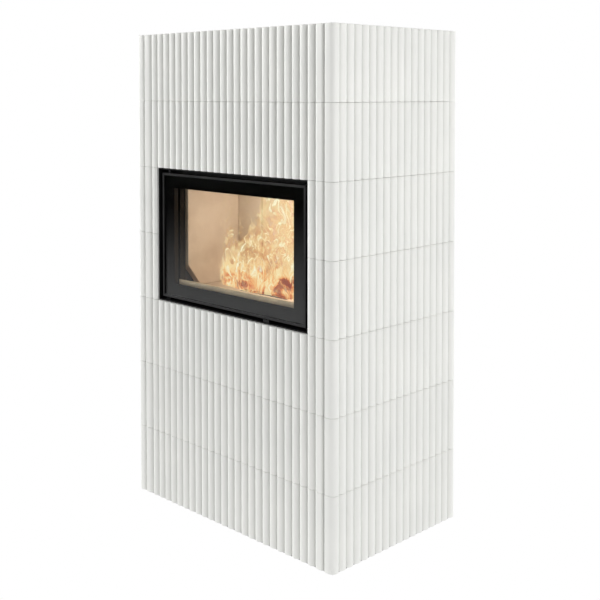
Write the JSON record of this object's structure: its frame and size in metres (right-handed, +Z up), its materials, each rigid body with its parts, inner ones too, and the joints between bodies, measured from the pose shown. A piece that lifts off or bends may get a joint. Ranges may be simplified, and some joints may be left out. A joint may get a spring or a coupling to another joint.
{
  "type": "tiled stove",
  "caption": "Tall rectangular stove in white reeded glazed tiles with rounded front corners, around a steel fireplace insert with a wide black-framed glass door hinged on the left.",
  "frame": {"origin": "on the floor, under the middle of the bounding box", "axes": "+Z up, the door faces -Y, +X to the right as one faces the door"},
  "size_m": [0.9062, 0.56, 1.5365],
  "materials": {
    "glaze": "white glaze, satin gloss, soft over the reeds",
    "concrete": "cast fireproof concrete, fine pores",
    "storage_stone": "dense heat-storage stone, sawn",
    "sheet_steel": "zinc-coated sheet steel",
    "flue_steel": "matt black stove paint",
    "firebox_steel": "dark grey heat-proof paint on welded steel",
    "black_frame": "satin black stove paint",
    "door_black": "satin black stove paint",
    "door_glass": "clear ceramic glass with a black printed border",
    "seal_rope": "braided glass-fibre rope, dark grey",
    "fireclay": "pale sand-coloured fire clay, matt",
    "grate_iron": "rough cast iron",
    "retainer_steel": "heat-tinted stainless strip",
    "pin_steel": "turned steel"
  },
  "bodies": {
    "stove": {"front_tile_1": "glaze", "front_tile_2": "glaze", "front_tile_3": "glaze", "front_tile_6": "glaze", "front_tile_7": "glaze", "front_jamb_left_4": "glaze", "front_jamb_right_4": "glaze", "front_jamb_left_5": "glaze", "front_jamb_right_5": "glaze", "side_tile_left_1": "glaze", "side_tile_left_2": "glaze", "side_tile_left_3": "glaze", "side_tile_left_4": "glaze", "side_tile_left_5": "glaze", "side_tile_left_6": "glaze", "side_tile_left_7": "glaze", "side_tile_right_1": "glaze", "side_tile_right_2": "glaze", "side_tile_right_3": "glaze", "side_tile_right_4": "glaze", "side_tile_right_5": "glaze", "side_tile_right_6": "glaze", "side_tile_right_7": "glaze", "base_slab": "concrete", "stand_cheek_left": "concrete", "stand_cheek_right": "concrete", "stand_shelf": "concrete", "top_slab": "concrete", "back_panel": "sheet_steel", "storage_block_left": "storage_stone", "storage_block_right": "storage_stone", "flue_pipe": "flue_steel", "flue_top_collar": "flue_steel", "flue_outlet_collar": "flue_steel", "firebox_body": "firebox_steel", "insert_front_frame": "black_frame", "hearth_plate": "fireclay", "lining_left": "fireclay", "lining_right": "fireclay", "lining_back_1": "fireclay", "lining_back_2": "fireclay", "lining_back_3": "fireclay", "lining_back_4": "fireclay", "baffle_lower": "fireclay", "baffle_upper": "fireclay", "ash_pan": "sheet_steel", "log_retainer": "retainer_steel", "hinge_pin_lower": "pin_steel", "hinge_pin_upper": "pin_steel", "catch_bracket": "sheet_steel"},
    "door": {"door_frame": "door_black", "door_inner_frame": "door_black", "door_glass": "door_glass", "glass_gasket": "seal_rope", "door_seal": "seal_rope", "catch_striker": "pin_steel"},
    "air_control": {"air_lever": "black_frame", "air_slide": "sheet_steel"},
    "grate": {"ash_grate": "grate_iron"},
    "catch_roller": {"catch_roller": "pin_steel"}
  },
  "joints": [
    {"name": "door_hinge", "type": "hinge", "parent": "stove", "child": "door", "pos_m": [-0.318, -0.2455, 0.877], "axis": [0, 0, -1], "range_deg": [0, 100]},
    {"name": "air_lever_slide", "type": "slide", "parent": "stove", "child": "air_control", "axis": [1, 0, 0], "range_m": [-0.055, 0.03]},
    {"name": "grate_lift", "type": "slide", "parent": "stove", "child": "grate", "axis": [0, 0, 1], "range_m": [0, 0.12]},
    {"name": "catch_roller_spin", "type": "hinge", "parent": "stove", "child": "catch_roller", "pos_m": [0.318, -0.2125, 0.893], "axis": [1, 0, 0], "continuous": true}
  ]
}
